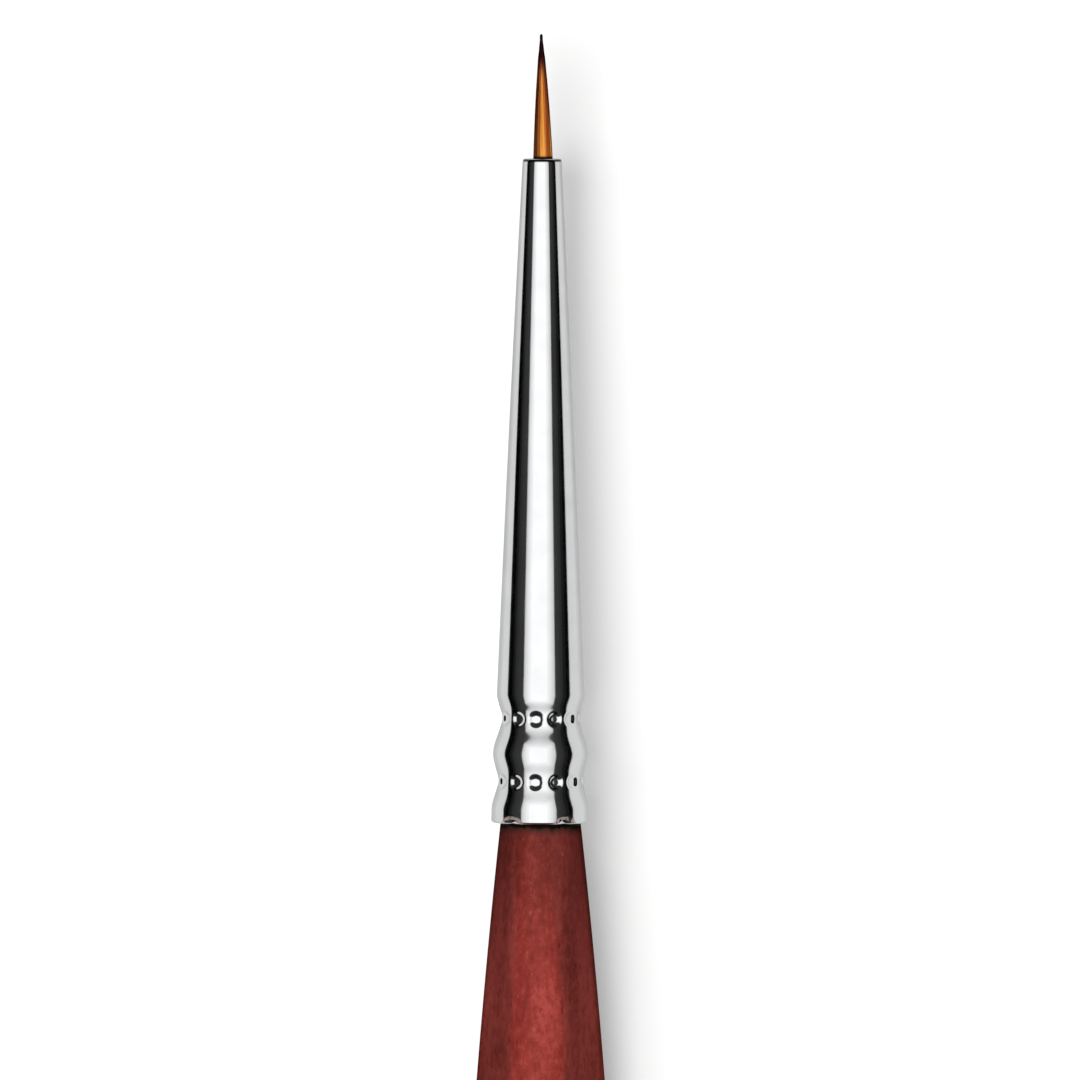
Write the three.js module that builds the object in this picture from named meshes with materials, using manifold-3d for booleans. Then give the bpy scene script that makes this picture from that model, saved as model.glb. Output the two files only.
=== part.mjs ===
// Fine detail brush for model making: a pointed tuft of hair in a crimped metal ferrule, on a wooden
// handle with a three-sided grip. Millimetres, +Z up. The brush lies along Y on one flat of its grip
// with the tuft toward +Y, and the origin is on the resting surface under the middle of the brush.
//
// Every body is centred on the brush's axis. Its outline is a list of [radius, station] pairs, where
// the station is the distance behind the ferrule's mouth: negative in front of it, where the tuft is.

import * as THREE from 'three';
import { mergeVertices } from 'three/addons/utils/BufferGeometryUtils.js';
import Module from 'manifold-3d';

// Overall
const OVERALL_LENGTH = 185;
const HAIR_OUT = 5.35; // free length of the tuft
const FERRULE_LENGTH = 28.5;
const MOUTH_Y = OVERALL_LENGTH / 2 - HAIR_OUT;
const TAIL_STATION = OVERALL_LENGTH - HAIR_OUT;

// Grip: a triangle with rounded edges, lying on one of its flats
const GRIP_INRADIUS = 2.84; // from the axis to each flat
const GRIP_EDGE_RATIO = 0.563; // radius of the three edges, as a part of the inradius
const GRIP_START = FERRULE_LENGTH + 34;
const GRIP_END = FERRULE_LENGTH + 50;
const NECK_RADIUS = 1.72;
const NECK_SWELL_POWER = 1.81; // how soon the neck reaches the width of the grip
const NECK_ROUND_POWER = 3.5; // how soon the round neck becomes three-sided
const TAIL_HALF_WIDTH = 1.6;
const TAIL_EDGE_RATIO = 0.85;
const TAIL_TAPER_POWER = 1.25;
const TAIL_CAP = 2.2; // length of the rounded end

// Ferrule
const WALL = 0.3;
const BORE_RADIUS = 0.42; // at the mouth
const BORE_LAND = 0.9; // straight length of the bore behind the mouth
const BORE_FLARE_END = 3.2; // from here on the wall has its even thickness
const MOUTH_RADIUS = 0.84;
const MOUTH_ROUNDING = { depth: 0.09, length: 0.22 };
const MOUTH_CHAMFER = 0.08; // inside, where the hairs come out
const CONE_BULGE = 0.03; // how far the cone stands proud of a straight one
const CONE_END = { station: 22.95, radius: 1.89 };
const FRONT_CRIMP = { station: 24.0, radius: 1.685 };
const BEAD = { station: 25.54, radius: 2.05 };
const REAR_CRIMP = { station: 26.7, radius: 1.845 };
const LIP = { station: 27.95, radius: 2.11 };
const RIM = { station: 28.38, radius: 2.12 };
const RIM_EDGE_RADIUS = 2.0; // where the rounded rim meets the ferrule's end

// Punch marks in both crimps
const MARKS_PER_CRIMP = 13;
const MARK_DIAMETER = 0.76;
const MARK_DEPTH = 0.1;
const MARK_OFFSET_DEGREES = -4.5; // the first mark, turned from straight up; negative is toward -X

// Tuft
const HAIR_BASE_RADIUS = 0.4;
const HAIR_TAPER_POWER = 0.62; // how full the point is: 1 is a straight cone
const BEND_AHEAD = 0.35; // the tuft bends this far in front of the mouth
const ROOT_TOP = 0.36; // the bound hairs start this far behind the mouth
const ROOT_END = 9;
const ROOT_END_RADIUS = 0.5;

// Thread, glue and tenon inside the ferrule
const THREAD_RADIUS = 0.09;
const THREAD_TURNS = 4;
const THREAD_PITCH = 0.2;
const THREAD_START = 7.2;
const PLUG_START = 4;
const PLUG_END = 9.7;
const TENON_START = 13.5;
const TENON_CHAMFER = 0.4;
const SLEEVE_START = 14.5;
const SLEEVE_END = 28;
const SLEEVE_THICKNESS = 0.1;
const FIT_GAP = 0.012; // clearance between nested bodies

// Fineness of the round shapes. All the nested bodies have the same number of sides.
const SIDES = 30;
const CRIMP_STEP = 0.3;
const CONE_STEP = 3.2;
const SHORTEST_STEP = 0.05;
const ARC_STEPS = 4;
const FLARE_STEPS = 4;
const TAPER_STEPS = 9;
const SWELL_STEPS = 12;
const SWELL_STEP_POWER = 0.8; // finer steps toward the neck
const TIP_STEPS = 15;
const TIP_STEP_POWER = 2; // finer steps toward the point
const MARK_SIDES = 12;
const MARK_ROWS = 10;
const THREAD_STEPS_PER_TURN = 12;
const THREAD_SIDES_PER_HALF = 6;

const { lerp, smoothstep, degToRad } = THREE.MathUtils;

function steps(count) {
  return Array.from({ length: count + 1 }, (_, i) => i / count);
}

// A quarter of an ellipse as an outline, from one end of its first axis to the end of its second
function quarterArc(centre, from, to) {
  return steps(ARC_STEPS).map((t) => {
    const turn = (t * Math.PI) / 2;
    return centre.map((middle, i) => {
      const along = (from[i] - middle) * Math.cos(turn);
      return middle + along + (to[i] - middle) * Math.sin(turn);
    });
  });
}

// Stations from one end of a stretch to the other, at steps that suit the ferrule's shape there
function stationsBetween(first, last) {
  const cone = [];
  for (let station = BORE_FLARE_END; station < CONE_END.station; station += CONE_STEP) cone.push(station);
  const crimps = [];
  for (let station = CONE_END.station; station < RIM.station; station += CRIMP_STEP) crimps.push(station);
  const isInside = (station) => station > first + SHORTEST_STEP && station < last - SHORTEST_STEP;
  return [first, ...[...cone, ...crimps].filter(isInside), last];
}

// Outer radius of the ferrule from its mouth to its rim: the cone, then the waves of the crimps
function ferruleOuter(station) {
  if (station <= CONE_END.station) {
    const t = station / CONE_END.station;
    return lerp(MOUTH_RADIUS, CONE_END.radius, t) + CONE_BULGE * Math.sin(Math.PI * t);
  }
  const waves = [CONE_END, FRONT_CRIMP, BEAD, REAR_CRIMP, LIP, RIM];
  const next = waves.findIndex((wave) => station <= wave.station);
  const from = waves[next - 1];
  const to = waves[next];
  return lerp(from.radius, to.radius, smoothstep(station, from.station, to.station));
}

// Inner radius of the ferrule: the bore that grips the hairs, then an even wall
function ferruleInner(station) {
  const evenWall = ferruleOuter(Math.min(station, RIM.station)) - WALL;
  return lerp(BORE_RADIUS, evenWall, smoothstep(station, BORE_LAND, BORE_FLARE_END));
}

// Turns an outline about the brush's axis. The outline runs from the tail toward the tuft.
function lathe(outline) {
  const profile = outline.map(([radius, station]) => new THREE.Vector2(radius, MOUTH_Y - station));
  return new THREE.LatheGeometry(profile, SIDES);
}

function mesh(name, geometry, colour, roughness, metalness) {
  const material = new THREE.MeshStandardMaterial({ color: colour, roughness, metalness });
  const piece = new THREE.Mesh(geometry, material);
  piece.name = name;
  piece.position.z = GRIP_INRADIUS;
  return piece;
}

const wasm = await Module();
wasm.setup();

function toManifold(geometry) {
  const bare = geometry.clone();
  bare.deleteAttribute('normal');
  bare.deleteAttribute('uv');
  const merged = mergeVertices(bare, 1e-4);
  const vertProperties = new Float32Array(merged.attributes.position.array);
  const triVerts = new Uint32Array(merged.index.array);
  return new wasm.Manifold(new wasm.Mesh({ numProp: 3, vertProperties, triVerts }));
}

function fromManifold(solid) {
  const { vertProperties, triVerts } = solid.getMesh();
  const geometry = new THREE.BufferGeometry();
  geometry.setAttribute('position', new THREE.BufferAttribute(vertProperties, 3));
  geometry.setIndex(new THREE.BufferAttribute(triVerts, 1));
  geometry.computeVertexNormals();
  return geometry;
}

// Half of the handle's width at a station, where the handle is outside the ferrule
function handleHalfWidth(station) {
  const belly = GRIP_INRADIUS * widthRatio(GRIP_EDGE_RATIO);
  if (station < GRIP_START) {
    const left = (GRIP_START - station) / (GRIP_START - FERRULE_LENGTH);
    return lerp(belly, NECK_RADIUS, left ** NECK_SWELL_POWER);
  }
  const gone = Math.max(0, station - GRIP_END) / (TAIL_STATION - GRIP_END);
  return lerp(belly, TAIL_HALF_WIDTH, gone ** TAIL_TAPER_POWER);
}

// Radius of the handle's edges as a part of its inradius: 1 is round
function handleEdgeRatio(station) {
  if (station <= FERRULE_LENGTH) return 1;
  if (station < GRIP_START) {
    const left = (GRIP_START - station) / (GRIP_START - FERRULE_LENGTH);
    return lerp(GRIP_EDGE_RATIO, 1, left ** NECK_ROUND_POWER);
  }
  const gone = Math.max(0, station - GRIP_END) / (TAIL_STATION - GRIP_END);
  return lerp(GRIP_EDGE_RATIO, TAIL_EDGE_RATIO, gone);
}

// Half-width of a rounded triangle of inradius 1 that stands on one of its sides
function widthRatio(edgeRatio) {
  return Math.sqrt(3) - (Math.sqrt(3) - 1) * edgeRatio;
}

// Distance from the centre of a rounded triangle to its outline. The angle is turned from the edge
// that points up, and the flats face down and 60 degrees to each side of up.
function triangleRadius(angle, inradius, edgeRadius) {
  const sector = (2 * Math.PI) / 3;
  const fromEdge = Math.abs(angle - sector * Math.round(angle / sector));
  const fromFlat = sector / 2 - fromEdge;
  const edgeCentre = 2 * (inradius - edgeRadius);
  const flatHalf = Math.atan2(Math.sqrt(3) * (inradius - edgeRadius), inradius);
  if (fromFlat <= flatHalf) return inradius / Math.cos(fromFlat);
  const reach = edgeRadius ** 2 - (edgeCentre * Math.sin(fromEdge)) ** 2;
  return edgeCentre * Math.cos(fromEdge) + Math.sqrt(reach);
}

// Gives a lathed handle its three-sided section: the lathed radius becomes the inradius
function makeThreeSided(geometry) {
  const position = geometry.attributes.position;
  for (let i = 0; i < position.count; i += 1) {
    const inradius = Math.hypot(position.getX(i), position.getZ(i));
    const angle = Math.atan2(position.getX(i), position.getZ(i));
    const edgeRatio = handleEdgeRatio(MOUTH_Y - position.getY(i));
    const radius = triangleRadius(angle, inradius, inradius * edgeRatio);
    position.setX(i, radius * Math.sin(angle));
    position.setZ(i, radius * Math.cos(angle));
  }
  return geometry;
}

function handle() {
  const capStart = TAIL_STATION - TAIL_CAP;
  const inradiusAt = (station) => handleHalfWidth(station) / widthRatio(handleEdgeRatio(station));
  const tailCap = quarterArc([0, capStart], [0, TAIL_STATION], [inradiusAt(capStart), capStart]);
  const taper = steps(TAPER_STEPS).map((t) => lerp(capStart, GRIP_END, t)).slice(1);
  const neckEnd = FERRULE_LENGTH + FIT_GAP;
  const swell = steps(SWELL_STEPS).map((t) => lerp(GRIP_START, neckEnd, t ** SWELL_STEP_POWER));
  const outside = [...taper, ...swell].map((station) => [inradiusAt(station), station]);
  const tenonRadius = (station) => ferruleInner(station) - SLEEVE_THICKNESS - 2 * FIT_GAP;
  const tenon = stationsBetween(TENON_START + TENON_CHAMFER, FERRULE_LENGTH - 2 * FIT_GAP)
    .reverse()
    .map((station) => [tenonRadius(station), station]);
  const tenonEnd = [
    [tenonRadius(TENON_START) - TENON_CHAMFER, TENON_START],
    [0, TENON_START],
  ];
  const geometry = lathe([...tailCap, ...outside, ...tenon, ...tenonEnd]);
  return mesh('handle', makeThreeSided(geometry), 0x7e2f2c, 0.45, 0);
}

function ferruleTube() {
  const rimEdge = [RIM_EDGE_RADIUS, FERRULE_LENGTH];
  const rimArc = quarterArc([RIM_EDGE_RADIUS, RIM.station], rimEdge, [RIM.radius, RIM.station]);
  const { depth, length } = MOUTH_ROUNDING;
  const outside = stationsBetween(length, RIM.station)
    .reverse()
    .slice(1)
    .map((station) => [ferruleOuter(station), station]);
  const flatRadius = ferruleOuter(length) - depth;
  const mouthArc = quarterArc([flatRadius, length], [ferruleOuter(length), length], [flatRadius, 0]);
  const bore = [
    [BORE_RADIUS + MOUTH_CHAMFER, 0],
    [BORE_RADIUS, MOUTH_CHAMFER],
    [BORE_RADIUS, BORE_LAND],
  ];
  const flare = steps(FLARE_STEPS).map((t) => lerp(BORE_LAND, BORE_FLARE_END, t)).slice(1);
  const inside = [...flare, ...stationsBetween(BORE_FLARE_END, FERRULE_LENGTH).slice(1)];
  const innerWall = inside.map((station) => [ferruleInner(station), station]);
  const outline = [...rimArc, ...outside, ...mouthArc.slice(1), ...bore, ...innerWall];
  return lathe([...outline, outline[0]]);
}

// The punch marks of one crimp: shallow round hollows, evenly spaced round the groove
function crimpMarks(crimp) {
  const ballRadius = ((MARK_DIAMETER / 2) ** 2 + MARK_DEPTH ** 2) / (2 * MARK_DEPTH);
  const distance = crimp.radius + ballRadius - MARK_DEPTH;
  return Array.from({ length: MARKS_PER_CRIMP }, (_, i) => {
    const angle = degToRad(MARK_OFFSET_DEGREES) + (2 * Math.PI * i) / MARKS_PER_CRIMP;
    const ball = new THREE.SphereGeometry(ballRadius, MARK_SIDES, MARK_ROWS);
    ball.rotateX(Math.PI / 2);
    ball.translate(0, MOUTH_Y - crimp.station, distance);
    ball.rotateY(angle);
    return toManifold(ball);
  });
}

function ferrule() {
  const marks = [...crimpMarks(FRONT_CRIMP), ...crimpMarks(REAR_CRIMP)];
  const punched = marks.reduce((solid, mark) => solid.subtract(mark), toManifold(ferruleTube()));
  return mesh('ferrule', fromManifold(punched), 0xc9cacc, 0.12, 1);
}

// The free hairs: a slender point on a ball end, which turns in the mouth as the tuft bends
function hairTip() {
  const free = HAIR_OUT - BEND_AHEAD;
  const side = steps(TIP_STEPS).map((t) => {
    const left = (1 - t) ** TIP_STEP_POWER;
    return [HAIR_BASE_RADIUS * left ** HAIR_TAPER_POWER, free * left - HAIR_OUT];
  });
  const ballCentre = [0, -BEND_AHEAD];
  const ball = quarterArc(ballCentre, [0, HAIR_BASE_RADIUS - BEND_AHEAD], side[0]);
  return mesh('hair_tip', lathe([...ball, ...side.slice(1)]), 0xb06a2c, 0.55, 0);
}

function rootRadius(station) {
  return lerp(HAIR_BASE_RADIUS, ROOT_END_RADIUS, (station - ROOT_TOP) / (ROOT_END - ROOT_TOP));
}

// The bound hairs, from just behind the mouth to the cut root end
function hairRoot() {
  const outline = [
    [0, ROOT_END],
    [ROOT_END_RADIUS, ROOT_END],
    [HAIR_BASE_RADIUS, ROOT_TOP],
    [0, ROOT_TOP],
  ];
  return mesh('hair_root', lathe(outline), 0xa5602a, 0.6, 0);
}

// Centre line of the thread wound round the root end
class ThreadHelix extends THREE.Curve {
  getPoint(t, target = new THREE.Vector3()) {
    const turn = t * THREAD_TURNS * 2 * Math.PI;
    const station = THREAD_START + t * THREAD_TURNS * THREAD_PITCH;
    const radius = ROOT_END_RADIUS + THREAD_RADIUS + FIT_GAP;
    return target.set(radius * Math.sin(turn), MOUTH_Y - station, radius * Math.cos(turn));
  }
}

function tyingThread() {
  const section = new THREE.Shape().absarc(0, 0, THREAD_RADIUS, 0, 2 * Math.PI);
  const settings = {
    steps: THREAD_TURNS * THREAD_STEPS_PER_TURN,
    curveSegments: THREAD_SIDES_PER_HALF,
    extrudePath: new ThreadHelix(),
  };
  return mesh('tying_thread', new THREE.ExtrudeGeometry(section, settings), 0xe6e1d2, 0.8, 0);
}

// The resin plug: it fills the ferrule round the root end and the thread, and closes it behind
function hairGlue() {
  const pocketRadius = ROOT_END_RADIUS + 2 * THREAD_RADIUS + 3 * FIT_GAP;
  const pocketFront = THREAD_START - THREAD_RADIUS - FIT_GAP;
  const pocketRear = THREAD_START + THREAD_TURNS * THREAD_PITCH + THREAD_RADIUS + FIT_GAP;
  const outside = stationsBetween(PLUG_START, PLUG_END)
    .reverse()
    .map((station) => [ferruleInner(station) - FIT_GAP, station]);
  const along = (station) => [rootRadius(station) + FIT_GAP, station];
  const inside = [
    along(PLUG_START),
    along(pocketFront),
    [pocketRadius, pocketFront],
    [pocketRadius, pocketRear],
    along(pocketRear),
    along(ROOT_END + FIT_GAP),
    [0, ROOT_END + FIT_GAP],
  ];
  return mesh('hair_glue', lathe([[0, PLUG_END], ...outside, ...inside]), 0xd8b25a, 0.3, 0);
}

// The sleeve of glue between the tenon and the ferrule
function handleGlue() {
  const stations = stationsBetween(SLEEVE_START, SLEEVE_END);
  const outside = [...stations].reverse().map((station) => [ferruleInner(station) - FIT_GAP, station]);
  const inside = stations.map((station) => [ferruleInner(station) - FIT_GAP - SLEEVE_THICKNESS, station]);
  return mesh('handle_glue', lathe([...outside, ...inside, outside[0]]), 0xe9dfc4, 0.5, 0);
}

const brush = new THREE.Group();
brush.add(handle(), ferrule(), handleGlue(), hairRoot(), tyingThread(), hairGlue(), hairTip());

export default brush;
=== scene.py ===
"""Looks of the fine detail brush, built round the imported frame. Lengths in the shape code are in
millimetres and become metres where a mesh is made. A station is the distance behind the ferrule's
mouth, as in the part's own source, and every body is centred on the brush's axis."""

import math

import bpy
import numpy as np
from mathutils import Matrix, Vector


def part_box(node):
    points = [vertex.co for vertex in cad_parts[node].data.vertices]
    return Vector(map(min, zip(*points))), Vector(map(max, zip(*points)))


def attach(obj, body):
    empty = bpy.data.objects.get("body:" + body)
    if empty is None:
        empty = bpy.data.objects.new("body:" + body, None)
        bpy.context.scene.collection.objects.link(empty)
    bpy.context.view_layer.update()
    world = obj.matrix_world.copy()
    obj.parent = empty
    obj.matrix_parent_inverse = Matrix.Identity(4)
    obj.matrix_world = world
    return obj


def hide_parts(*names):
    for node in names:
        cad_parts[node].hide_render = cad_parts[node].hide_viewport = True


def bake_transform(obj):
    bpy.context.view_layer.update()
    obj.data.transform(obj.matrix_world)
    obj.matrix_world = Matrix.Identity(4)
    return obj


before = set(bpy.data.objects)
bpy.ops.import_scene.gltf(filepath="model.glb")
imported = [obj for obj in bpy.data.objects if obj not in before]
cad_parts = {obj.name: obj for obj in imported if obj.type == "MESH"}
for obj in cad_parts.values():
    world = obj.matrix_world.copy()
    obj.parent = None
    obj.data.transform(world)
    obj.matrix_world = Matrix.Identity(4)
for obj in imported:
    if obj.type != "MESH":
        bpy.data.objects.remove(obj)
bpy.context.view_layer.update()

MM = 0.001

# Places, from the frame
ferrule_low, ferrule_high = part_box("ferrule")
handle_low, handle_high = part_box("handle")
MOUTH_Y = ferrule_high.y / MM
AXIS_Z = (ferrule_low.z + ferrule_high.z) / 2 / MM
TIP_STATION = MOUTH_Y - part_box("hair_tip")[1].y / MM
TENON_STATION = MOUTH_Y - handle_high.y / MM
TAIL_STATION = MOUTH_Y - handle_low.y / MM
FERRULE_LENGTH = (ferrule_high.y - ferrule_low.y) / MM

# Ferrule. The crimps, the bead, the lip and the cone's end are each a station and a radius
WALL = 0.3
BORE_RADIUS = 0.42
BORE_LAND = 0.9
BORE_FLARE_END = 3.2
MOUTH_RADIUS = 0.84
MOUTH_ROUNDING = (0.09, 0.22)  # depth and length
CONE_BULGE = 0.03  # how far the cone stands proud of a straight one
SKIN = 0.12  # what lies this close under the outer surface is pressed in by the punch
CONE_END = (22.95, 1.89)
FRONT_CRIMP = (24.0, 1.685)
BEAD = (25.54, 2.05)
REAR_CRIMP = (26.7, 1.845)
LIP = (27.95, 2.11)
RIM_START = 28.38
RIM_RADIUS = 2.12
LIP_EDGE_RADIUS = 2.0
MARKS_PER_CRIMP = 13
MARK_RADIUS = 0.38
MARK_FLOOR = 0.13  # radius of the crater's flat bottom
MARK_DEPTH = 0.09
MARK_FIRST_DEGREES = -4.5
RIM_DENTS_DEGREES = (-34, 33, 118, -131)  # turned from straight up toward +X
RIM_DENT_RADIUS = 0.45
RIM_DENT_DEPTH = 0.1
# The arches at the rim's dents are a painted reflection of the wood's colour
ARCH_HEIGHT = 0.27
ARCH_HALF_WIDTH = 0.46
ARCH_FADE = (0.1, 0.35)  # in parts of the arch's size
BORE_EDGE_RADIUS = 0.06
OUTLINE_STEP = 0.03
FERRULE_COLUMNS = 416

# Grip
GRIP_INRADIUS = AXIS_Z
GRIP_EDGE_RATIO = 0.563  # radius of the three edges, as a part of the inradius
GRIP_START = FERRULE_LENGTH + 34
GRIP_END = FERRULE_LENGTH + 50
NECK_RADIUS = 1.72
NECK_SWELL_POWER = 1.81  # how soon the neck reaches the width of the grip
NECK_ROUND_POWER = 3.5  # how soon the round neck becomes three-sided
TAIL_HALF_WIDTH = 1.6
TAIL_EDGE_RATIO = 0.85
TAIL_TAPER_POWER = 1.25
TAIL_CAP = 2.2  # length of the rounded end
TENON_CLEARANCE = 0.13
TENON_CHAMFER = (0.35, 0.4)  # depth and length
HANDLE_COLUMNS = 240

# Tuft
TUFT_RADIUS = 0.398
TUFT_POWER = 0.575  # how full the point is: 1 is a straight cone
SPIKE_LENGTH = 0.9
SPIKE_SLIMMING = 0.09
SPIKE_SHOULDER = (-0.12, 0.08)  # where the shoulder starts and ends, from the spike's length
TIP_RADIUS = 0.065
TUFT_LEAN = (0.035, -0.055)  # toward +X, at the mouth and at the tip
ROOT_END = 9.0
ROOT_END_RADIUS = 0.5
BUNDLE_SIDES = 144
GROOVES = 48
GROOVE_DEPTH = 0.012  # in parts of the radius, and as much again at random
HAIR_COUNT = 170
HAIR_RADIUS = 0.022
HAIR_START = 1.2  # station, inside the mouth
HAIR_STEPS = 40
HAIR_SIDES = 7
CLUMP_RADIUS = 0.045
CLUMP_SINK = 0.45
CLUMPS = (  # degrees round the tuft, and mm short of the tip
    (85, 0.55),
    (-88, 0.95),
    (175, 0.9),
    (30, 1.3),
    (-35, 1.6),
    (-145, 1.2),
    (125, 1.8),
    (70, 2.4),
    (-75, 2.1),
)

# Colours, linear. A set of three starts at the darkest stain, and a set of five at the tuft's root
STAIN_STOPS = (0.4, 0.5, 0.6)
FLAT_COLOURS = ((0.28, 0.045, 0.036), (0.41, 0.068, 0.055), (0.52, 0.09, 0.074))
# Lighter copies of the flat stain, for the painted highlight on the three edges
EDGE_HIGHLIGHT_COLOURS = ((0.34, 0.041, 0.031), (0.46, 0.059, 0.045), (0.62, 0.096, 0.076))
PALE_FLECK = (0.62, 0.17, 0.15)
DARK_PORE = (0.07, 0.014, 0.012)
# Painted shade on the handle just behind the ferrule's lip
NECK_PAINTED_SHADE = (0.06, 0.026, 0.019)
JOINT_LINE = (0.008, 0.005, 0.004)
BLACK = (0.0, 0.0, 0.0)
PLATE_COLOURS = ((0.555, 0.56, 0.565), (0.6, 0.605, 0.61))
# Painted dark reflection on the rounding of the ferrule's mouth
MOUTH_DARK_REFLECTION = (0.045, 0.04, 0.035)
# Painted reflection of the handle's wood in the rim's dents
REFLECTED_WOOD_COLOUR = (0.5, 0.39, 0.34)
HAIR_STOPS = (0.0, 0.4, 0.66, 0.77, 0.82)
GOLD_COLOURS = (
    (0.9, 0.42, 0.085),
    (0.62, 0.23, 0.04),
    (0.5, 0.17, 0.035),
    (0.12, 0.02, 0.008),
    (0.015, 0.001, 0.002),
)
AMBER_COLOURS = (
    (0.52, 0.11, 0.012),
    (0.42, 0.075, 0.008),
    (0.16, 0.018, 0.003),
    (0.05, 0.004, 0.003),
    (0.012, 0.001, 0.002),
)
# Colour of the painted shade on the tuft's left side
PAINTED_SHADE_HAIR = (0.1, 0.01, 0.004)
# Painted shade where the hairs leave the mouth
HAIR_MOUTH_SHADE = (0.02, 0.006, 0.004)

# Where the colours change: two stations, and where there are four numbers, the values there
# Where the painted dark reflection round the ferrule's mouth starts and ends
MOUTH_RING_START = (0.015, 0.03)
MOUTH_RING_END = (0.15, 0.09)
# The three edges are painted lighter than the flats, a painted highlight added to the light on the upper
# edge, shifted toward -X near the neck after the light from the left
EDGE_HIGHLIGHT_SHIFT = (30.0, 38.0, 0.2, 0.0)  # mm toward -X
EDGE_HIGHLIGHT_WIDTH = (29.0, 39.0, 0.7, 1.2)
EDGE_HIGHLIGHT_BORDER = (1.27, 0.97)  # not stations: parts of that width, beside each of the three edges
# Painted shade: the handle's flats and edges darken toward the ferrule
FLAT_SHADE = (37.0, 28.0, 0.0, 0.42)
EDGE_SHADE = (36.0, 28.0, 0.0, 0.48)
# Painted shade just behind the ferrule's lip, then the dark joint line
NECK_SHADE_END = (FERRULE_LENGTH + 0.85, FERRULE_LENGTH + 0.35)
JOINT_END = (FERRULE_LENGTH + 0.5, FERRULE_LENGTH + 0.36)

# The same on the tuft, in parts of its free length from the mouth
# Painted shade where the hairs leave the mouth
HAIR_MOUTH_SHADE_END = (0.03, 0.01)
# Painted shade on the tuft's left side: where it fades out along the tuft, where it starts across it, and
# how strong
HAIR_SHADE_END = (0.7, 0.5)
HAIR_SHADE_SIDE = (-0.04, -0.2)  # mm toward +X
HAIR_SHADE = 0.8

# Stage, in metres and degrees unless it says otherwise
FLOOR_SIZE = 4.0
FLOOR_DROP = 0.00002
FLOOR_GLOW = 0.435
# The mirrored glow dips beside the brush, a painted shade of the floor in reflections
MIRRORED_GLOW = (1.5, 9.0, 0.62, 1.06)  # two distances beside the axis in mm, and the glow there
MIRRORED_LEFT_END = (-50.0, -35.0)  # mm toward +X
LIGHT_FOCUS_Y = 0.06
SOFTBOX_HEIGHT = 0.35
LAYER_GAP = 0.003
SOFTBOX_LAYERS = (  # degrees to the left, right, front and back edges, and radiance
    (44, 40, 38.5, 39, 0.85),
    (41, 37, 36, 37, 0.2),
    (38, 32, 33, 34, 0.2),
    (32, 26, 29, 31, 0.2),
    (25, 19, 24, 26, 0.2),
    (61, 54, 61, 61, 0.012),
    (70, 63, 70, 70, 0.026),
    (78, 73, 78, 78, 0.014),
)
CARD_PLACE = (0.5, 0, 0.022)
CARD_SIZE = (1.6, 0.044)
TUFT_LIGHT_PLACE = (0.31, 0, 0.27)
TUFT_LIGHT_SIZE = (0.5, 0.16)
LAMP_RADIANCE = 0.9
SUN_STRENGTH = 2.25
SUN_WIDTH = 46
SUN_LEAN = -21.5
ROOM_GLOW = 0.002
VIEW_WIDTH = 46.35  # mm
VIEW_CENTRE = (-0.055, 16.37)  # mm toward +X, and station
CAMERA_TILT = 2.5
CAMERA_ROLL = 0.14


def smoothstep(x, low, high):
    t = np.clip((x - low) / (high - low), 0, 1)
    return t * t * (3 - 2 * t)


def lerp(a, b, t):
    return a + (b - a) * t


# ---------------------------------------------------------------- shapes


def ferrule_outer(station):
    """Outer radius of the ferrule: a slightly bulging cone, then the waves of the crimps."""
    station = np.asarray(station, float)
    t = np.clip(station / CONE_END[0], 0, 1)
    radius = lerp(MOUTH_RADIUS, CONE_END[1], t) + CONE_BULGE * np.sin(np.pi * t)
    turns = (CONE_END, FRONT_CRIMP, BEAD, REAR_CRIMP, LIP)
    for start, end in zip(turns, turns[1:]):
        wave = lerp(start[1], end[1], smoothstep(station, start[0], end[0]))
        radius = np.where(station > start[0], wave, radius)
    return radius + (RIM_RADIUS - LIP[1]) * smoothstep(station, LIP[0], RIM_START)


def ferrule_inner(station):
    """Inner radius of the ferrule: the bore that grips the hairs, then an even wall."""
    even_wall = ferrule_outer(np.minimum(station, RIM_START)) - WALL
    return lerp(BORE_RADIUS, even_wall, smoothstep(station, BORE_LAND, BORE_FLARE_END))


def quarter_arc(centre, first, second, count=12):
    """Outline points [radius, station] on a quarter of an ellipse from first to second."""
    turn = np.linspace(0, math.pi / 2, count)[:, None]
    centre, first, second = (np.array(p, float) for p in (centre, first, second))
    return centre + (first - centre) * np.cos(turn) + (second - centre) * np.sin(turn)


def outline(radius_of, stations):
    """Outline points [radius, station], from a formula for the radius."""
    stations = np.asarray(stations, float)
    return np.column_stack([radius_of(stations) * np.ones_like(stations), stations])


def triangle_radius(angle, inradius, edge_radius):
    """Distance from the centre of a rounded triangle to its outline, one edge pointing up."""
    sector = 2 * math.pi / 3
    from_edge = np.abs(angle - sector * np.round(angle / sector))
    from_flat = sector / 2 - from_edge
    edge_centre = 2 * (inradius - edge_radius)
    flat_half = np.arctan2(math.sqrt(3) * (inradius - edge_radius), inradius)
    reach = np.maximum(edge_radius**2 - (edge_centre * np.sin(from_edge)) ** 2, 0)
    on_edge = edge_centre * np.cos(from_edge) + np.sqrt(reach)
    return np.where(from_flat <= flat_half, inradius / np.cos(from_flat), on_edge)


def width_ratio(edge_ratio):
    """Half-width of a rounded triangle in parts of its inradius."""
    return math.sqrt(3) - (math.sqrt(3) - 1) * edge_ratio


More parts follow.
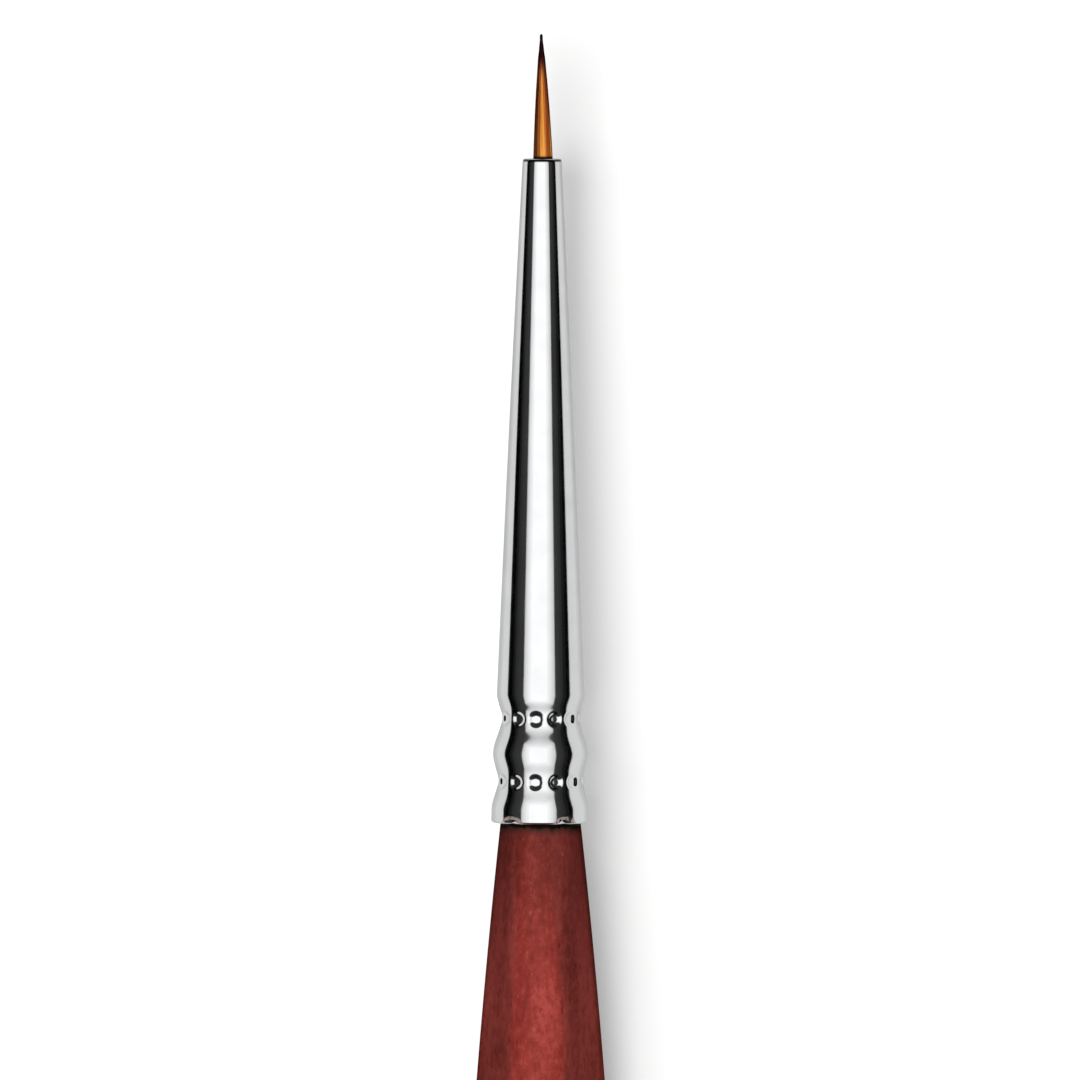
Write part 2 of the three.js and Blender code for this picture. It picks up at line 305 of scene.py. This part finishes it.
def handle_edge_ratio(station):
    """Radius of the handle's three edges in parts of its inradius: 1 at the round neck."""
    left = np.clip((GRIP_START - station) / (GRIP_START - FERRULE_LENGTH), 0, 1)
    gone = np.clip((station - GRIP_END) / (TAIL_STATION - GRIP_END), 0, 1)
    before = lerp(GRIP_EDGE_RATIO, 1, left**NECK_ROUND_POWER)
    return np.where(station < GRIP_START, before, lerp(GRIP_EDGE_RATIO, TAIL_EDGE_RATIO, gone))


def handle_inradius(station):
    """Distance from the axis to the handle's flats, from the half-width seen from above."""
    belly = GRIP_INRADIUS * width_ratio(GRIP_EDGE_RATIO)
    left = np.clip((GRIP_START - station) / (GRIP_START - FERRULE_LENGTH), 0, 1)
    gone = np.clip((station - GRIP_END) / (TAIL_STATION - GRIP_END), 0, 1)
    before = lerp(belly, NECK_RADIUS, left**NECK_SWELL_POWER)
    half = np.where(station < GRIP_START, before, lerp(belly, TAIL_HALF_WIDTH, gone**TAIL_TAPER_POWER))
    return half / width_ratio(handle_edge_ratio(station))


def tuft_radius(from_tip):
    """Radius of the hair bundle: a rounded cone, then a thin spike with a blunt end."""
    cone = TUFT_RADIUS * np.clip(from_tip / -TIP_STATION, 0, 1) ** TUFT_POWER
    start, end = (SPIKE_LENGTH + shift for shift in SPIKE_SHOULDER)
    spike = cone * (1 - SPIKE_SLIMMING * (1 - smoothstep(from_tip, start, end)))
    return np.maximum(spike, TIP_RADIUS * np.sqrt(np.clip(from_tip / TIP_RADIUS, 0, 1)))


# ---------------------------------------------------------------- meshes


def new_object(name, vertices_mm, faces, material):
    """A smooth object with one material, from vertices in millimetres."""
    mesh = bpy.data.meshes.new(name)
    mesh.from_pydata((np.asarray(vertices_mm) * MM).tolist(), [], faces)
    mesh.validate()
    mesh.shade_smooth()
    mesh.materials.append(material)
    piece = bpy.data.objects.new(name, mesh)
    bpy.context.scene.collection.objects.link(piece)
    return piece


def lathe(name, profile, columns, material, shape=None, closed=False):
    """Turns an outline about the brush's axis. shape(station, angle, radius) may alter the radius."""
    profile = np.asarray(profile, float)
    angle = np.arange(columns) * 2 * math.pi / columns
    station = profile[:, 1][:, None] * np.ones(columns)
    radius = profile[:, 0][:, None] * np.ones(columns)
    if shape:
        radius = shape(station, angle[None, :] * np.ones_like(radius), radius)
    points = np.stack(
        [radius * np.sin(angle), MOUTH_Y - station, AXIS_Z + radius * np.cos(angle)], axis=-1
    ).reshape(-1, 3)
    rows = len(profile)
    faces = []
    for i in range(rows if closed else rows - 1):
        a, b = i * columns, (i + 1) % rows * columns
        for j in range(columns):
            k = (j + 1) % columns
            faces.append((a + j, a + k, b + k, b + j))
    if not closed:
        ends = np.array([[0, MOUTH_Y - profile[0, 1], AXIS_Z], [0, MOUTH_Y - profile[-1, 1], AXIS_Z]])
        first, last = len(points), len(points) + 1
        points = np.vstack([points, ends])
        for j in range(columns):
            k = (j + 1) % columns
            faces.append((first, k, j))
            faces.append((last, (rows - 1) * columns + j, (rows - 1) * columns + k))
    return new_object(name, points, faces, material)


def angle_from(angle, degrees):
    """How far angle is from a direction given in degrees, between -pi and pi."""
    return np.angle(np.exp(1j * (angle - math.radians(degrees))))


def press_marks(station, angle, radius):
    """Presses the two rings of round punch marks, and a few dents in the rim, into the ferrule."""
    pressed = radius.copy()
    outside = radius > ferrule_outer(station) - SKIN
    pitch = 2 * math.pi / MARKS_PER_CRIMP
    for crimp_station, crimp_radius in (FRONT_CRIMP, REAR_CRIMP):
        off = angle - math.radians(MARK_FIRST_DEGREES)
        off = off - pitch * np.round(off / pitch)
        distance = np.hypot(off * crimp_radius, station - crimp_station)
        crater = 1 - smoothstep(distance, MARK_FLOOR, MARK_RADIUS)
        pressed -= np.where(outside, MARK_DEPTH * crater, 0)
    for degrees in RIM_DENTS_DEGREES:
        off = angle_from(angle, degrees)
        distance = np.hypot(off * RIM_RADIUS, station - FERRULE_LENGTH)
        dent = 1 - smoothstep(distance, 0, RIM_DENT_RADIUS)
        pressed -= np.where(outside, RIM_DENT_DEPTH * dent, 0)
    return pressed


def make_ferrule(material):
    """The tube, as one closed outline: rim, outside, mouth, the bore's edge and the bore."""
    rim_centre = (LIP_EDGE_RADIUS, RIM_START)
    rim = quarter_arc(rim_centre, (LIP_EDGE_RADIUS, FERRULE_LENGTH), (RIM_RADIUS, RIM_START))
    nose_depth, nose_length = MOUTH_ROUNDING
    crimps = np.arange(RIM_START - OUTLINE_STEP, CONE_END[0] - 0.3, -OUTLINE_STEP)
    cone = np.linspace(crimps[-1] - 0.2, nose_length, 60)
    outside = outline(ferrule_outer, np.concatenate([crimps, cone]))
    nose_radius = float(ferrule_outer(nose_length))
    flat = nose_radius - nose_depth
    mouth = quarter_arc((flat, nose_length), (nose_radius, nose_length), (flat, 0), 14)
    edge_radius = BORE_RADIUS + BORE_EDGE_RADIUS
    edge_centre = (edge_radius, BORE_EDGE_RADIUS)
    inner_edge = quarter_arc(edge_centre, (edge_radius, 0), (BORE_RADIUS, BORE_EDGE_RADIUS), 8)
    bore = outline(ferrule_inner, np.linspace(0.2, FERRULE_LENGTH - 0.1, 120))
    profile = np.vstack([rim, outside, mouth[1:], inner_edge, bore])
    ferrule = lathe("ferrule_shell", profile, FERRULE_COLUMNS, material, press_marks, closed=True)
    add_reflection_arches(ferrule)
    return ferrule


def add_reflection_arches(ferrule):
    """Marks, for the material, the small arches along the upper edges of the dents, where a reflection of
    the wood's colour is painted.
    """
    mesh = ferrule.data
    places = np.empty(3 * len(mesh.vertices))
    mesh.vertices.foreach_get("co", places)
    across, along, up = (places.reshape(-1, 3) / MM).T
    angle = np.arctan2(across, up - AXIS_Z)
    from_rim = FERRULE_LENGTH - (MOUTH_Y - along)
    reflection_arch = np.zeros(len(angle))
    for degrees in RIM_DENTS_DEGREES:
        off = angle_from(angle, degrees)
        arch = np.hypot(off * RIM_RADIUS / ARCH_HALF_WIDTH, from_rim / ARCH_HEIGHT)
        reflection_arch = np.maximum(reflection_arch, 1 - smoothstep(np.abs(arch - 1), *ARCH_FADE))
    attribute = mesh.attributes.new("reflection_arch", "FLOAT", "POINT")
    attribute.data.foreach_set("value", reflection_arch)


def make_handle(material):
    """The handle from its rounded tail to the tenon inside the ferrule."""
    cap_start = TAIL_STATION - TAIL_CAP
    cap_radius = float(handle_inradius(np.array(cap_start)))
    cap = quarter_arc((0, cap_start), (0.02, TAIL_STATION), (cap_radius, cap_start), 24)
    body = outline(handle_inradius, np.linspace(cap_start - 0.3, FERRULE_LENGTH + 0.06, 420))
    shoulder = [[NECK_RADIUS - 0.03, FERRULE_LENGTH + 0.01]]
    tenon_end = FERRULE_LENGTH - 0.03
    chamfer_depth, chamfer_length = TENON_CHAMFER
    tenon_stations = np.linspace(tenon_end, TENON_STATION + chamfer_length, 60)
    tenon = outline(lambda s: ferrule_inner(s) - TENON_CLEARANCE, tenon_stations)
    chamfer = [[float(tenon[-1, 0]) - chamfer_depth, TENON_STATION]]
    profile = np.vstack([cap, body, shoulder, tenon, chamfer])

    def three_sided(station, angle, radius):
        ratio = np.where(station < FERRULE_LENGTH, 1, handle_edge_ratio(station))
        return triangle_radius(angle, radius, radius * ratio)

    return lathe("handle_body", profile, HANDLE_COLUMNS, material, three_sided)


def make_tuft(material):
    """One mesh: the gum-set bundle, grooved along its length, and the hairs that stand proud of it."""
    rng = np.random.default_rng(7)
    points, faces, tones = [], [], []

    def add_tube(centres, radii, tone):
        """A closed tube. radii and tone hold a row for each centre and a column for each side."""
        base = sum(len(p) for p in points)
        count, sides = radii.shape
        turn = np.arange(sides) * 2 * math.pi / sides
        ring = np.stack([np.sin(turn), np.zeros(sides), np.cos(turn)], axis=-1)
        tube = (centres[:, None, :] + radii[:, :, None] * ring[None]).reshape(-1, 3)
        points.append(np.vstack([tube, centres[0], centres[-1]]))
        tones.append(np.concatenate([tone.reshape(-1), [tone[0, 0], tone[-1, 0]]]))
        for i in range(count - 1):
            for j in range(sides):
                k = (j + 1) % sides
                a, b = base + i * sides, base + (i + 1) * sides
                faces.append((a + j, b + j, b + k, a + k))
        for j in range(sides):
            k = (j + 1) % sides
            last = base + (count - 1) * sides
            faces.append((base + count * sides, base + j, base + k))
            faces.append((base + count * sides + 1, last + k, last + j))

    def centre_line(station):
        lean = np.interp(-station, (-HAIR_START, 0, -TIP_STATION), (0, *TUFT_LEAN))
        return np.column_stack([lean, MOUTH_Y - station, np.full_like(station, AXIS_Z)])

    inside = np.linspace(ROOT_END, 0.3, 12)
    outside = np.linspace(0, TIP_STATION + 0.2, 90)
    blunt_end = TIP_STATION + 0.16 * np.linspace(1, 0.1, 6) ** 2
    station = np.concatenate([inside, outside, blunt_end])
    root = lerp(TUFT_RADIUS, ROOT_END_RADIUS, np.clip(station / ROOT_END, 0, 1))
    bundle = np.where(station > 0, root, tuft_radius(station - TIP_STATION))
    turn = np.arange(BUNDLE_SIDES) * 2 * math.pi / BUNDLE_SIDES
    groove = 0.5 + 0.5 * np.cos(GROOVES * turn)
    sides_per_groove = BUNDLE_SIDES // GROOVES
    depth = GROOVE_DEPTH + GROOVE_DEPTH * np.repeat(rng.random(GROOVES), sides_per_groove)
    radii = bundle[:, None] * (1 - depth * groove)[None, :]
    tone = np.repeat(rng.random(GROOVES), sides_per_groove)[None, :] * np.ones((len(station), 1))
    add_tube(centre_line(station), radii, tone)

    def add_hair(turn, end, sunk, radius, wander):
        """A hair at an angle round the bundle, from inside the mouth to end mm short of the tip.
        sunk is how deep its centre lies under the surface, in parts of its radius."""
        station = np.linspace(HAIR_START, TIP_STATION + end, HAIR_STEPS)
        surface = np.where(station > 0, TUFT_RADIUS, tuft_radius(station - TIP_STATION))
        along = np.linspace(0, 1, len(station))
        reach = np.maximum(surface - sunk * radius, 0.003)
        twist = turn + wander * (HAIR_START - station)
        centres = centre_line(station)
        centres[:, 0] += reach * np.sin(twist)
        centres[:, 2] += reach * np.cos(twist)
        radii = np.outer(radius * (1 - 0.9 * along**3), np.ones(HAIR_SIDES))
        add_tube(centres, radii, np.full(radii.shape, rng.random()))

    golden_angle = math.pi * (3 - math.sqrt(5))
    for n in range(HAIR_COUNT):
        end = 0.03 + 1.3 * rng.random() ** 1.5
        size = HAIR_RADIUS * rng.uniform(0.75, 1.1)
        sunk = rng.uniform(0.65, 1.2)
        wander = rng.normal(0, 0.02)
        add_hair(n * golden_angle, end, sunk, size, wander)
    for degrees, end in CLUMPS:
        add_hair(math.radians(degrees), end, CLUMP_SINK, CLUMP_RADIUS, 0.0)
    tuft = new_object("hair_tuft", np.vstack(points), faces, material)
    attribute = tuft.data.attributes.new("tone", "FLOAT", "POINT")
    attribute.data.foreach_set("value", np.concatenate(tones))
    return tuft


# ---------------------------------------------------------------- materials


def new_material(name):
    """A material, its node tree and its shader."""
    material = bpy.data.materials.new(name)
    material.use_nodes = True
    nodes = material.node_tree.nodes
    return material, material.node_tree, nodes["Principled BSDF"]


def add_node(tree, kind, **inputs):
    """A node with some inputs set. An underscore in an input's name stands for a space."""
    node = tree.nodes.new(kind)
    for key, value in inputs.items():
        node.inputs[key.replace("_", " ")].default_value = value
    return node


def ramp(tree, factor, stops):
    """Colours along a factor, from pairs of a place and a colour."""
    node = tree.nodes.new("ShaderNodeValToRGB")
    elements = node.color_ramp.elements
    while len(elements) < len(stops):
        elements.new(0.5)
    for element, (place, colour) in zip(elements, stops):
        element.position = place
        element.color = (*colour, 1)
    tree.links.new(factor, node.inputs["Fac"])
    return node.outputs["Color"]


def object_coordinates(tree, scale):
    coordinates = tree.nodes.new("ShaderNodeTexCoord")
    mapping = tree.nodes.new("ShaderNodeMapping")
    mapping.inputs["Scale"].default_value = scale
    tree.links.new(coordinates.outputs["Object"], mapping.inputs["Vector"])
    return mapping.outputs["Vector"]


def math_node(tree, operation, first, second=None):
    node = tree.nodes.new("ShaderNodeMath")
    node.operation = operation
    for socket, value in zip(node.inputs, (first, second)):
        if isinstance(value, (int, float)):
            socket.default_value = value
        elif value is not None:
            tree.links.new(value, socket)
    return node.outputs["Value"]


def map_range(tree, value, low, high, to_low=0.0, to_high=1.0):
    """Takes value smoothly from to_low at low to to_high at high."""
    node = tree.nodes.new("ShaderNodeMapRange")
    node.interpolation_type = "SMOOTHSTEP"
    node.inputs["From Min"].default_value = low
    node.inputs["From Max"].default_value = high
    node.inputs["To Min"].default_value = to_low
    node.inputs["To Max"].default_value = to_high
    tree.links.new(value, node.inputs["Value"])
    return node.outputs["Result"]


def noise(tree, vector, scale, detail=2.0, roughness=0.5):
    node = add_node(tree, "ShaderNodeTexNoise", Scale=scale, Detail=detail, Roughness=roughness)
    tree.links.new(vector, node.inputs["Vector"])
    return node.outputs["Fac"]


def mix_colour(tree, factor, first, second):
    """First where factor is 0 and second where it is 1. A colour is a tuple or a socket."""
    node = tree.nodes.new("ShaderNodeMix")
    node.data_type = "RGBA"
    node.clamp_factor = True
    tree.links.new(factor, node.inputs[0])
    for socket, value in zip((node.inputs[6], node.inputs[7]), (first, second)):
        if isinstance(value, tuple):
            socket.default_value = (*value, 1)
        else:
            tree.links.new(value, socket)
    return node.outputs[2]


def axis_coordinates(tree):
    """Across, station and up in millimetres, measured from the brush's axis and the mouth."""
    coordinates = tree.nodes.new("ShaderNodeTexCoord")
    separate = tree.nodes.new("ShaderNodeSeparateXYZ")
    tree.links.new(coordinates.outputs["Object"], separate.inputs["Vector"])
    across = math_node(tree, "DIVIDE", separate.outputs["X"], MM)
    behind = math_node(tree, "DIVIDE", separate.outputs["Y"], -MM)
    up = math_node(tree, "DIVIDE", separate.outputs["Z"], MM)
    return across, math_node(tree, "ADD", behind, MOUTH_Y), math_node(tree, "SUBTRACT", up, AXIS_Z)


def nickel():
    """Bright nickel plate with faint smudges, a painted dark reflection round the mouth, and painted
    arches of reflected wood colour at the rim's dents.
    """
    material, tree, shader = new_material("nickel_plate")
    vector = object_coordinates(tree, (1, 1, 1))
    smudge = noise(tree, vector, 900.0, 4.0)
    tone = ramp(tree, smudge, list(zip((0.3, 0.7), PLATE_COLOURS)))
    _, station, _ = axis_coordinates(tree)
    ring_start = map_range(tree, station, *MOUTH_RING_START)
    ring_end = map_range(tree, station, *MOUTH_RING_END)
    # Painted dark reflection: the mouth's rounding is turned nearly black
    tone = mix_colour(tree, math_node(tree, "MULTIPLY", ring_start, ring_end), tone, MOUTH_DARK_REFLECTION)
    # Painted reflection: beige, not metallic, in arches along the dents' upper edges
    arch = add_node(tree, "ShaderNodeAttribute")
    arch.attribute_name = "reflection_arch"
    broken = map_range(tree, noise(tree, vector, 7000.0, 2.0), 0.35, 0.5)
    reflection_arch = math_node(tree, "MULTIPLY", arch.outputs["Fac"], broken)
    tree.links.new(mix_colour(tree, reflection_arch, tone, REFLECTED_WOOD_COLOUR), shader.inputs["Base Color"])
    tree.links.new(math_node(tree, "SUBTRACT", 1.0, reflection_arch), shader.inputs["Metallic"])
    fine = noise(tree, object_coordinates(tree, (1, 0.15, 1)), 6000.0, 3.0)
    smudged = map_range(tree, smudge, 0.3, 0.7, 0.06, 0.09)
    rough = math_node(tree, "ADD", smudged, math_node(tree, "MULTIPLY", fine, 0.03))
    tree.links.new(rough, shader.inputs["Roughness"])
    return material


def stained_wood():
    """Red stain over wood, mottled, with a painted highlight on the three edges and painted shade toward
    the neck.
    """
    material, tree, shader = new_material("stained_wood")
    across, station, up = axis_coordinates(tree)
    # Painted highlight: a band beside each of the three edges, shifted toward -X near the neck
    across = math_node(tree, "ADD", across, map_range(tree, station, *EDGE_HIGHLIGHT_SHIFT))
    vector = object_coordinates(tree, (1, 0.6, 1))
    angle = math_node(tree, "ARCTAN2", across, up)
    from_edge = math_node(tree, "PINGPONG", angle, math.radians(60))
    squares = math_node(tree, "ADD", math_node(tree, "POWER", across, 2), math_node(tree, "POWER", up, 2))
    radius = math_node(tree, "SQRT", squares)
    beside = math_node(tree, "MULTIPLY", radius, math_node(tree, "SINE", from_edge))
    beside = math_node(tree, "DIVIDE", beside, map_range(tree, station, *EDGE_HIGHLIGHT_WIDTH))
    uneven = math_node(tree, "MULTIPLY", noise(tree, vector, 900.0, 3.0), 0.3)
    edge = map_range(tree, math_node(tree, "ADD", beside, uneven), *EDGE_HIGHLIGHT_BORDER)

    along_grain = object_coordinates(tree, (1, 0.22, 1))
    blotches = math_node(tree, "MULTIPLY", noise(tree, along_grain, 800.0, 3.0, 0.6), 0.5)
    mottle = math_node(tree, "MULTIPLY", noise(tree, vector, 3600.0, 4.0, 0.75), 0.5)
    stain = math_node(tree, "ADD", blotches, mottle)
    flat_tone = ramp(tree, stain, list(zip(STAIN_STOPS, FLAT_COLOURS)))
    edge_highlight_tone = ramp(tree, stain, list(zip(STAIN_STOPS, EDGE_HIGHLIGHT_COLOURS)))
    # Painted shade on the flats and edges, deepening toward the ferrule
    flat_shade = map_range(tree, station, *FLAT_SHADE)
    flat_tone = mix_colour(tree, flat_shade, flat_tone, BLACK)
    edge_shade = map_range(tree, station, *EDGE_SHADE)
    edge_highlight_tone = mix_colour(tree, edge_shade, edge_highlight_tone, BLACK)
    tone = mix_colour(tree, edge, flat_tone, edge_highlight_tone)
    grains = noise(tree, object_coordinates(tree, (1, 0.7, 1)), 4200.0, 1.0)
    flecks = math_node(tree, "MULTIPLY", map_range(tree, grains, 0.69, 0.78), 0.35)
    tone = mix_colour(tree, flecks, tone, PALE_FLECK)
    vessels = noise(tree, object_coordinates(tree, (1, 0.35, 1)), 6000.0, 1.0)
    pores = math_node(tree, "MULTIPLY", map_range(tree, vessels, 0.7, 0.78), 0.5)
    tone = mix_colour(tree, pores, tone, DARK_PORE)
    ragged = math_node(tree, "MULTIPLY", noise(tree, vector, 2500.0, 3.0), 0.5)
    place = math_node(tree, "ADD", station, ragged)
    # Painted shade just behind the ferrule's lip
    neck = map_range(tree, place, *NECK_SHADE_END)
    tone = mix_colour(tree, neck, tone, NECK_PAINTED_SHADE)
    joint = map_range(tree, place, *JOINT_END)
    tone = mix_colour(tree, joint, tone, JOINT_LINE)
    tree.links.new(tone, shader.inputs["Base Color"])
    shader.inputs["Roughness"].default_value = 0.42
    shader.inputs["Specular IOR Level"].default_value = 0.07
    bump = add_node(tree, "ShaderNodeBump", Strength=0.25, Distance=0.00002)
    tree.links.new(stain, bump.inputs["Height"])
    tree.links.new(bump.outputs["Normal"], shader.inputs["Normal"])
    return material


def golden_hair():
    """Smooth golden sable set to a point, nearly black at the tip, with painted shade where it leaves the
    mouth.
    The gold streaks are metallic for their sheen, the amber ones are not, and the left side has painted
    shade in the colour."""
    material, tree, shader = new_material("golden_hair")
    across, station, _ = axis_coordinates(tree)
    place = math_node(tree, "DIVIDE", station, TIP_STATION)
    tone = add_node(tree, "ShaderNodeAttribute")
    tone.attribute_name = "tone"
    streak = math_node(tree, "MULTIPLY", tone.outputs["Fac"], 0.1)
    uneven = math_node(tree, "ADD", place, math_node(tree, "SUBTRACT", streak, 0.05))
    gold = ramp(tree, uneven, list(zip(HAIR_STOPS, GOLD_COLOURS)))
    amber = ramp(tree, uneven, list(zip(HAIR_STOPS, AMBER_COLOURS)))
    glossy = map_range(tree, tone.outputs["Fac"], 0.3, 0.55)
    colour = mix_colour(tree, glossy, amber, gold)
    # Painted shade: the tuft's left side is darkened over the first half of its length
    left = map_range(tree, across, *HAIR_SHADE_SIDE)
    side = math_node(tree, "MULTIPLY", left, map_range(tree, place, *HAIR_SHADE_END))
    colour = mix_colour(tree, math_node(tree, "MULTIPLY", side, HAIR_SHADE), colour, PAINTED_SHADE_HAIR)
    # Painted shade where the hairs leave the ferrule's mouth
    root = map_range(tree, place, *HAIR_MOUTH_SHADE_END)
    tree.links.new(mix_colour(tree, root, colour, HAIR_MOUTH_SHADE), shader.inputs["Base Color"])
    tree.links.new(glossy, shader.inputs["Metallic"])
    shader.inputs["Roughness"].default_value = 0.3
    shader.inputs["Specular IOR Level"].default_value = 0.12
    return material


def plain(name, colour, roughness):
    """A material for a hidden piece: one colour, faintly mottled."""
    material, tree, shader = new_material(name)
    vector = object_coordinates(tree, (1, 1, 1))
    darker = [c * 0.75 for c in colour]
    tone = ramp(tree, noise(tree, vector, 1500.0, 3.0), [(0.3, darker), (0.7, colour)])
    tree.links.new(tone, shader.inputs["Base Color"])
    shader.inputs["Roughness"].default_value = roughness
    return material


# ---------------------------------------------------------------- stage


def make_floor():
    """A white floor to the camera. In reflections it is a glow of its own, which only the ferrule gets:
    darker close to the brush, as painted shade, and nothing far to the left."""
    mesh = bpy.data.meshes.new("floor")
    signs = ((-1, -1), (1, -1), (1, 1), (-1, 1))
    corners = [(x * FLOOR_SIZE, y * FLOOR_SIZE, -FLOOR_DROP) for x, y in signs]
    mesh.from_pydata(corners, [], [(0, 1, 2, 3)])
    floor = bpy.data.objects.new("floor", mesh)
    bpy.context.scene.collection.objects.link(floor)
    material, tree, shader = new_material("paper")
    shader.inputs["Base Color"].default_value = (0.9, 0.9, 0.9, 1)
    shader.inputs["Roughness"].default_value = 1
    shader.inputs["Specular IOR Level"].default_value = 0
    shader.inputs["Emission Color"].default_value = (1, 0.995, 0.99, 1)
    shader.inputs["Emission Strength"].default_value = FLOOR_GLOW
    across, _, _ = axis_coordinates(tree)
    away = math_node(tree, "ABSOLUTE", across)
    mirrored = tree.nodes.new("ShaderNodeEmission")
    near = map_range(tree, away, *MIRRORED_GLOW)
    strength = math_node(tree, "MULTIPLY", near, map_range(tree, across, *MIRRORED_LEFT_END))
    tree.links.new(strength, mirrored.inputs["Strength"])
    path = tree.nodes.new("ShaderNodeLightPath")
    mix = tree.nodes.new("ShaderNodeMixShader")
    tree.links.new(path.outputs["Is Camera Ray"], mix.inputs["Fac"])
    tree.links.new(mirrored.outputs["Emission"], mix.inputs[1])
    tree.links.new(shader.outputs["BSDF"], mix.inputs[2])
    tree.links.new(mix.outputs["Shader"], tree.nodes["Material Output"].inputs["Surface"])
    material.cycles.emission_sampling = "NONE"
    mesh.materials.append(material)
    return floor


def light_group(name, members):
    """A collection for light linking: what the lamp that names it may light."""
    group = bpy.data.collections.new(name)
    for member in members:
        group.objects.link(member)
    return group


def add_area(name, size_x, size_y, place, toward, radiance, receivers):
    """A rectangular lamp. Its power follows from its size and how bright it looks."""
    light = bpy.data.lights.new(name, "AREA")
    light.shape = "RECTANGLE"
    light.size = size_x
    light.size_y = size_y
    light.energy = radiance * math.pi * size_x * size_y
    lamp = bpy.data.objects.new(name, light)
    bpy.context.scene.collection.objects.link(lamp)
    lamp.location = place
    lamp.rotation_euler = (Vector(place) - Vector(toward)).to_track_quat("Z", "Y").to_euler()
    lamp.light_linking.receiver_collection = receivers
    lamp.visible_camera = False
    return lamp


def make_lights(floor, ferrule, handle, tuft):
    """A softbox of stacked layers over the pieces, a card to their right, a lamp for the tuft, and a
    wide sun that gives the floor its shadow. Each lights only what it is for."""
    focus = Vector((0, LIGHT_FOCUS_Y, AXIS_Z * MM))
    on_object = light_group("lit_pieces", [ferrule, handle, tuft])
    on_floor = light_group("lit_floor", [floor])
    on_ferrule = light_group("lit_ferrule", [ferrule])
    floor.light_linking.receiver_collection = on_ferrule
    for n, (left, right, front, back, radiance) in enumerate(SOFTBOX_LAYERS):
        level = SOFTBOX_HEIGHT + LAYER_GAP * n
        x0, x1, y0, y1 = (level * math.tan(math.radians(a)) for a in (-left, right, -back, front))
        place = focus + Vector(((x0 + x1) / 2, (y0 + y1) / 2, level))
        below = place - Vector((0, 0, 1))
        add_area(f"softbox_{n}", x1 - x0, y1 - y0, place, below, radiance, on_object)
    card = focus + Vector(CARD_PLACE)
    add_area("side_card", *CARD_SIZE, card, card - Vector((1, 0, 0)), LAMP_RADIANCE, on_ferrule)
    lamp_place = focus + Vector(TUFT_LIGHT_PLACE)
    on_tuft = light_group("lit_tuft", [tuft])
    add_area("tuft_light", *TUFT_LIGHT_SIZE, lamp_place, focus, LAMP_RADIANCE, on_tuft)
    sun = bpy.data.lights.new("floor_light", "SUN")
    sun.energy = SUN_STRENGTH
    sun.angle = math.radians(SUN_WIDTH)
    lamp = bpy.data.objects.new("floor_light", sun)
    bpy.context.scene.collection.objects.link(lamp)
    lamp.rotation_euler = (0, math.radians(SUN_LEAN), 0)
    lamp.light_linking.receiver_collection = on_floor


def make_world():
    """White behind everything that the camera sees, and a nearly dark room for light and reflections."""
    world = bpy.data.worlds.new("studio")
    bpy.context.scene.world = world
    world.use_nodes = True
    tree = world.node_tree
    room = tree.nodes["Background"]
    room.inputs["Color"].default_value = (ROOM_GLOW, ROOM_GLOW, ROOM_GLOW, 1)
    backdrop = tree.nodes.new("ShaderNodeBackground")
    backdrop.inputs["Color"].default_value = (1, 1, 1, 1)
    path = tree.nodes.new("ShaderNodeLightPath")
    mix = tree.nodes.new("ShaderNodeMixShader")
    tree.links.new(path.outputs["Is Camera Ray"], mix.inputs["Fac"])
    tree.links.new(room.outputs["Background"], mix.inputs[1])
    tree.links.new(backdrop.outputs["Background"], mix.inputs[2])
    tree.links.new(mix.outputs["Shader"], tree.nodes["World Output"].inputs["Surface"])


def make_camera():
    """A long lens almost straight above the ferrule, moved a little toward +X and toward the tip."""
    camera = bpy.data.cameras.new("camera")
    camera.sensor_width = 36
    camera.lens = 800
    camera.clip_end = 20
    eye = bpy.data.objects.new("camera", camera)
    bpy.context.scene.collection.objects.link(eye)
    distance = VIEW_WIDTH * MM * camera.lens / camera.sensor_width
    across, station = VIEW_CENTRE
    target = Vector((across * MM, (MOUTH_Y - station) * MM, AXIS_Z * MM))
    tilt = math.radians(CAMERA_TILT)
    roll = math.radians(CAMERA_ROLL)
    eye.rotation_euler = (-tilt, tilt, roll)
    back = eye.rotation_euler.to_matrix() @ Vector((0, 0, 1))
    eye.location = target + back * distance
    bpy.context.scene.camera = eye
    bpy.context.scene.view_settings.view_transform = "Standard"


# ---------------------------------------------------------------- the brush

make_camera()
make_world()
floor = make_floor()

ferrule = make_ferrule(nickel())
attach(ferrule, "brush")
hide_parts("ferrule")

handle = make_handle(stained_wood())
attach(handle, "brush")
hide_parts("handle")

tuft = make_tuft(golden_hair())
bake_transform(tuft)
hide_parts("hair_tip", "hair_root")

inner_materials = {
    "handle_glue": plain("dried_wood_glue", (0.82, 0.75, 0.58), 0.5),
    "hair_glue": plain("amber_resin", (0.7, 0.46, 0.12), 0.2),
    "tying_thread": plain("cotton_thread", (0.8, 0.76, 0.66), 0.9),
}
for node, material in inner_materials.items():
    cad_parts[node].data.materials.clear()
    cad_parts[node].data.materials.append(material)

make_lights(floor, ferrule, handle, tuft)
